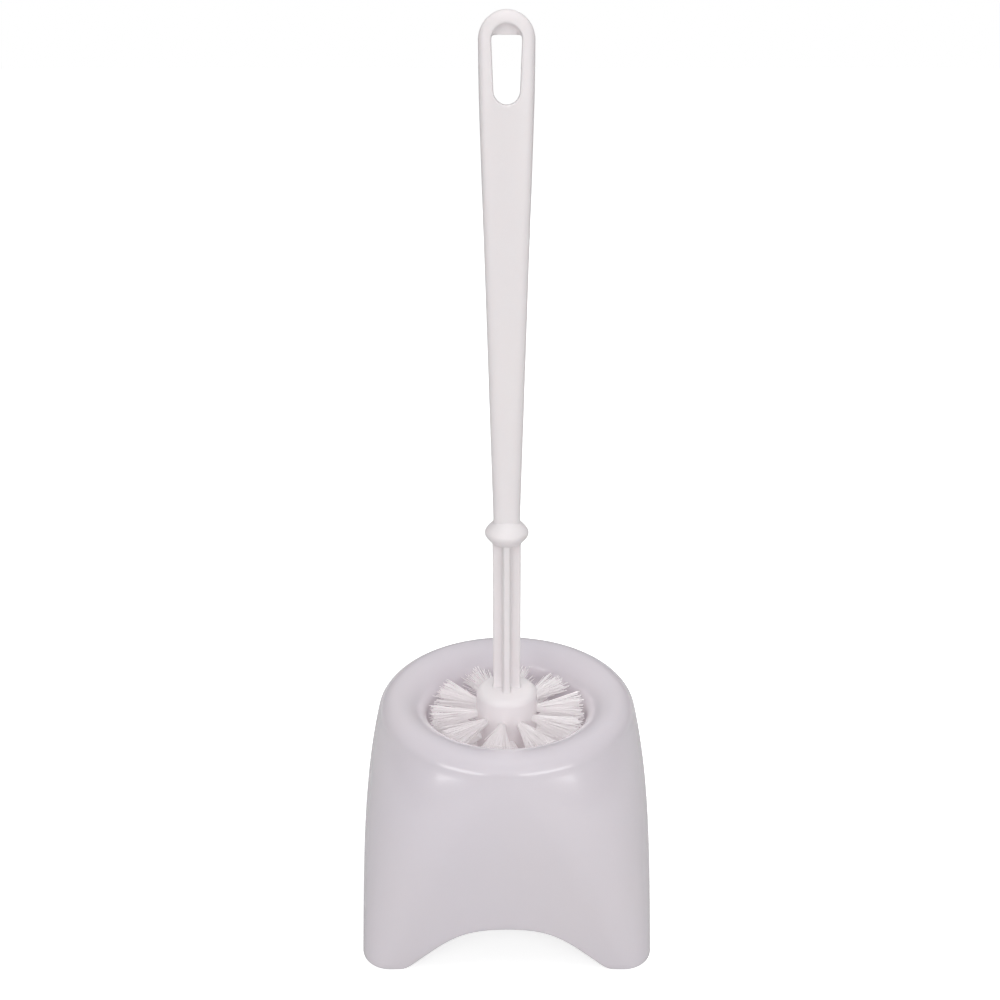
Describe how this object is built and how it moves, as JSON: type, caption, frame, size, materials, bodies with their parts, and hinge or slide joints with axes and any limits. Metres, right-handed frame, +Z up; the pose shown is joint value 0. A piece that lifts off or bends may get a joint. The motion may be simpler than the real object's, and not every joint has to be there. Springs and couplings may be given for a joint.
{
  "type": "toilet brush holder",
  "caption": "White plastic toilet brush standing in its open holder: flat grip with hanging hole, cross-ribbed stem, tufted head in a drip cup, holder on four corner feet.",
  "frame": {"origin": "centre of the holder's footprint, on the floor plane the feet stand on", "axes": "+Z up along the brush and the cup; -Y is the front, the side the flat of the grip faces; +X to the right seen from the front"},
  "size_m": [0.129, 0.129, 0.39],
  "materials": {
    "holder_plastic": "moulded white polypropylene, soft gloss",
    "brush_plastic": "moulded white polypropylene, soft gloss",
    "bristle_white": "fine white nylon or polypropylene filament"
  },
  "bodies": {
    "holder": {"holder_shell": "holder_plastic"},
    "brush": {"brush_handle": "brush_plastic", "tuft_ring1_01": "bristle_white", "tuft_ring1_02": "bristle_white", "tuft_ring1_03": "bristle_white", "tuft_ring1_04": "bristle_white", "tuft_ring1_05": "bristle_white", "tuft_ring1_06": "bristle_white", "tuft_ring1_07": "bristle_white", "tuft_ring1_08": "bristle_white", "tuft_ring1_09": "bristle_white", "tuft_ring1_10": "bristle_white", "tuft_ring2_01": "bristle_white", "tuft_ring2_02": "bristle_white", "tuft_ring2_03": "bristle_white", "tuft_ring2_04": "bristle_white", "tuft_ring2_05": "bristle_white", "tuft_ring2_06": "bristle_white", "tuft_ring2_07": "bristle_white", "tuft_ring2_08": "bristle_white", "tuft_ring2_09": "bristle_white", "tuft_ring2_10": "bristle_white", "tuft_ring3_01": "bristle_white", "tuft_ring3_02": "bristle_white", "tuft_ring3_03": "bristle_white", "tuft_ring3_04": "bristle_white", "tuft_ring3_05": "bristle_white", "tuft_ring3_06": "bristle_white", "tuft_ring3_07": "bristle_white", "tuft_ring3_08": "bristle_white", "tuft_ring3_09": "bristle_white", "tuft_ring3_10": "bristle_white", "tuft_ring4_01": "bristle_white", "tuft_ring4_02": "bristle_white", "tuft_ring4_03": "bristle_white", "tuft_ring4_04": "bristle_white", "tuft_ring4_05": "bristle_white", "tuft_ring4_06": "bristle_white", "tuft_ring4_07": "bristle_white", "tuft_ring4_08": "bristle_white", "tuft_ring4_09": "bristle_white", "tuft_ring4_10": "bristle_white", "tuft_ring5_01": "bristle_white", "tuft_ring5_02": "bristle_white", "tuft_ring5_03": "bristle_white", "tuft_ring5_04": "bristle_white", "tuft_ring5_05": "bristle_white", "tuft_ring5_06": "bristle_white", "tuft_ring5_07": "bristle_white", "tuft_ring5_08": "bristle_white", "tuft_ring5_09": "bristle_white", "tuft_ring5_10": "bristle_white", "tuft_end_01": "bristle_white", "tuft_end_02": "bristle_white", "tuft_end_03": "bristle_white", "tuft_end_04": "bristle_white", "tuft_end_05": "bristle_white", "tuft_end_06": "bristle_white", "tuft_end_centre": "bristle_white"}
  },
  "joints": [
    {"name": "brush_lift", "type": "slide", "parent": "holder", "child": "brush", "axis": [0, 0, 1], "range_m": [0, 0.1]}
  ]
}
